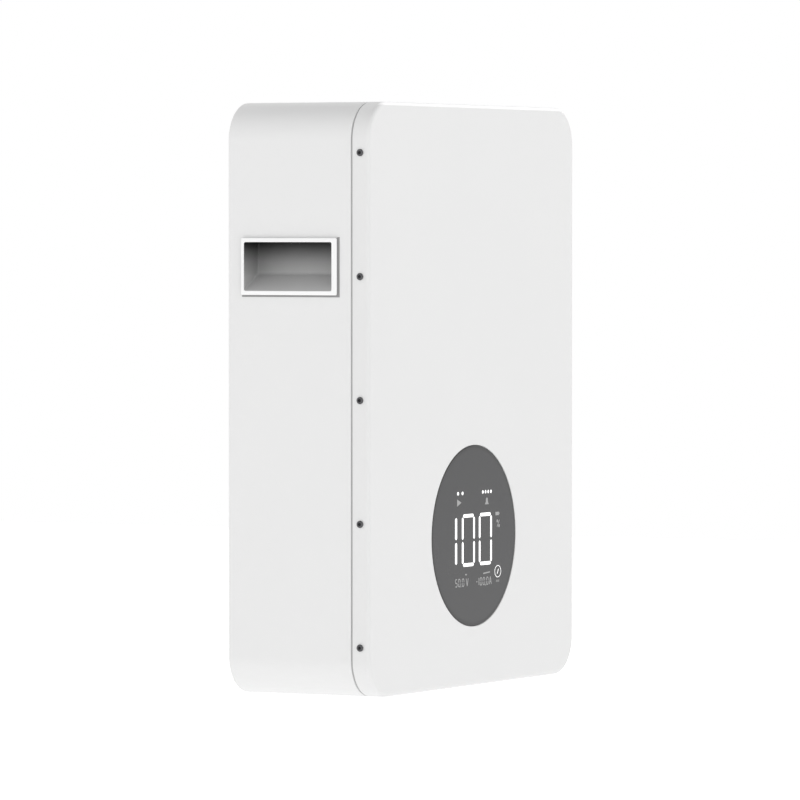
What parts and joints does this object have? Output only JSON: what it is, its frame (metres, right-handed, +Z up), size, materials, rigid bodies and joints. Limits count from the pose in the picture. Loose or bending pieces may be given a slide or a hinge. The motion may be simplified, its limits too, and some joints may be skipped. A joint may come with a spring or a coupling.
{
  "type": "wall battery unit",
  "caption": "Wall-hung lithium battery box with side hand grips, a round front display and a connector bay underneath, hooked on a wall bracket.",
  "frame": {"origin": "middle of the wall bracket's wall face, on the flat plate", "axes": "+Z up, the display faces -Y, the wall is on the +Y side, +X is the right-hand side seen from the front"},
  "size_m": [0.4476, 0.172, 0.582],
  "materials": {
    "white_coat": "smooth white powder coat",
    "white_plastic": "satin white moulded plastic",
    "display_glass": "smooth dark tinted acrylic, printed from behind",
    "black_screw_steel": "black oxide",
    "gasket_rubber": "matt foam rubber",
    "zinc_steel": "zinc plated",
    "button_steel": "satin turned",
    "black_plastic": "fine matt",
    "orange_plastic": "fine matt",
    "grey_plastic": "fine matt",
    "green_plastic": "fine matt",
    "blue_plastic": "smooth",
    "circuit_board": "solder mask",
    "aluminium": "milled",
    "cell_can": "blue film over an aluminium can"
  },
  "bodies": {
    "bracket": {"wall_bracket": "zinc_steel"},
    "unit": {"rear_shell": "white_coat", "front_cover": "white_coat", "handle_cup_left": "white_plastic", "handle_cup_right": "white_plastic", "display_lens": "display_glass", "cover_screw_left_1": "black_screw_steel", "cover_screw_left_2": "black_screw_steel", "cover_screw_left_3": "black_screw_steel", "cover_screw_left_4": "black_screw_steel", "cover_screw_left_5": "black_screw_steel", "cover_screw_right_1": "black_screw_steel", "cover_screw_right_2": "black_screw_steel", "cover_screw_right_3": "black_screw_steel", "cover_screw_right_4": "black_screw_steel", "cover_screw_right_5": "black_screw_steel", "cover_gasket": "gasket_rubber", "hanger_rail": "zinc_steel", "wall_spacer": "zinc_steel", "connector_bay": "zinc_steel", "ground_stud": "zinc_steel", "power_button_collar": "button_steel", "display_bezel": "black_plastic", "led_module": "black_plastic", "terminal_negative": "black_plastic", "data_sockets": "black_plastic", "pressure_valve": "black_plastic", "terminal_positive": "orange_plastic", "breaker_body": "grey_plastic", "dry_contact_block": "green_plastic", "dip_switch_body": "blue_plastic", "display_board": "circuit_board", "interface_board": "circuit_board", "bms_board": "circuit_board", "pack_plate_top": "aluminium", "pack_plate_bottom": "aluminium", "bms_heatsink": "aluminium", "cell_left_1": "cell_can", "cell_left_2": "cell_can", "cell_left_3": "cell_can", "cell_left_4": "cell_can", "cell_left_5": "cell_can", "cell_left_6": "cell_can", "cell_left_7": "cell_can", "cell_left_8": "cell_can", "cell_right_1": "cell_can", "cell_right_2": "cell_can", "cell_right_3": "cell_can", "cell_right_4": "cell_can", "cell_right_5": "cell_can", "cell_right_6": "cell_can", "cell_right_7": "cell_can", "cell_right_8": "cell_can"},
    "lever": {"breaker_lever": "black_plastic"},
    "power_cap": {"power_button": "button_steel"},
    "reset_cap": {"reset_button": "black_plastic"},
    "dip_1": {"dip_slider_1": "white_plastic"},
    "dip_2": {"dip_slider_2": "white_plastic"},
    "dip_3": {"dip_slider_3": "white_plastic"},
    "dip_4": {"dip_slider_4": "white_plastic"}
  },
  "joints": [
    {"name": "unit_lift", "type": "slide", "parent": "bracket", "child": "unit", "axis": [0, 0, 1], "range_m": [0, 0.03]},
    {"name": "breaker_throw", "type": "hinge", "parent": "unit", "child": "lever", "pos_m": [-0.038, -0.082, -0.385], "axis": [-1, 0, 0], "range_deg": [0, 70]},
    {"name": "power_press", "type": "slide", "parent": "unit", "child": "power_cap", "axis": [0, 0, 1], "range_m": [0, 0.0025], "stiffness_N_per_m": 600},
    {"name": "reset_press", "type": "slide", "parent": "unit", "child": "reset_cap", "axis": [0, 0, 1], "range_m": [0, 0.0008], "stiffness_N_per_m": 500},
    {"name": "dip_1_slide", "type": "slide", "parent": "unit", "child": "dip_1", "axis": [0, 1, 0], "range_m": [0, 0.002]},
    {"name": "dip_2_slide", "type": "slide", "parent": "unit", "child": "dip_2", "axis": [0, 1, 0], "range_m": [0, 0.002]},
    {"name": "dip_3_slide", "type": "slide", "parent": "unit", "child": "dip_3", "axis": [0, 1, 0], "range_m": [0, 0.002]},
    {"name": "dip_4_slide", "type": "slide", "parent": "unit", "child": "dip_4", "axis": [0, 1, 0], "range_m": [0, 0.002]}
  ]
}
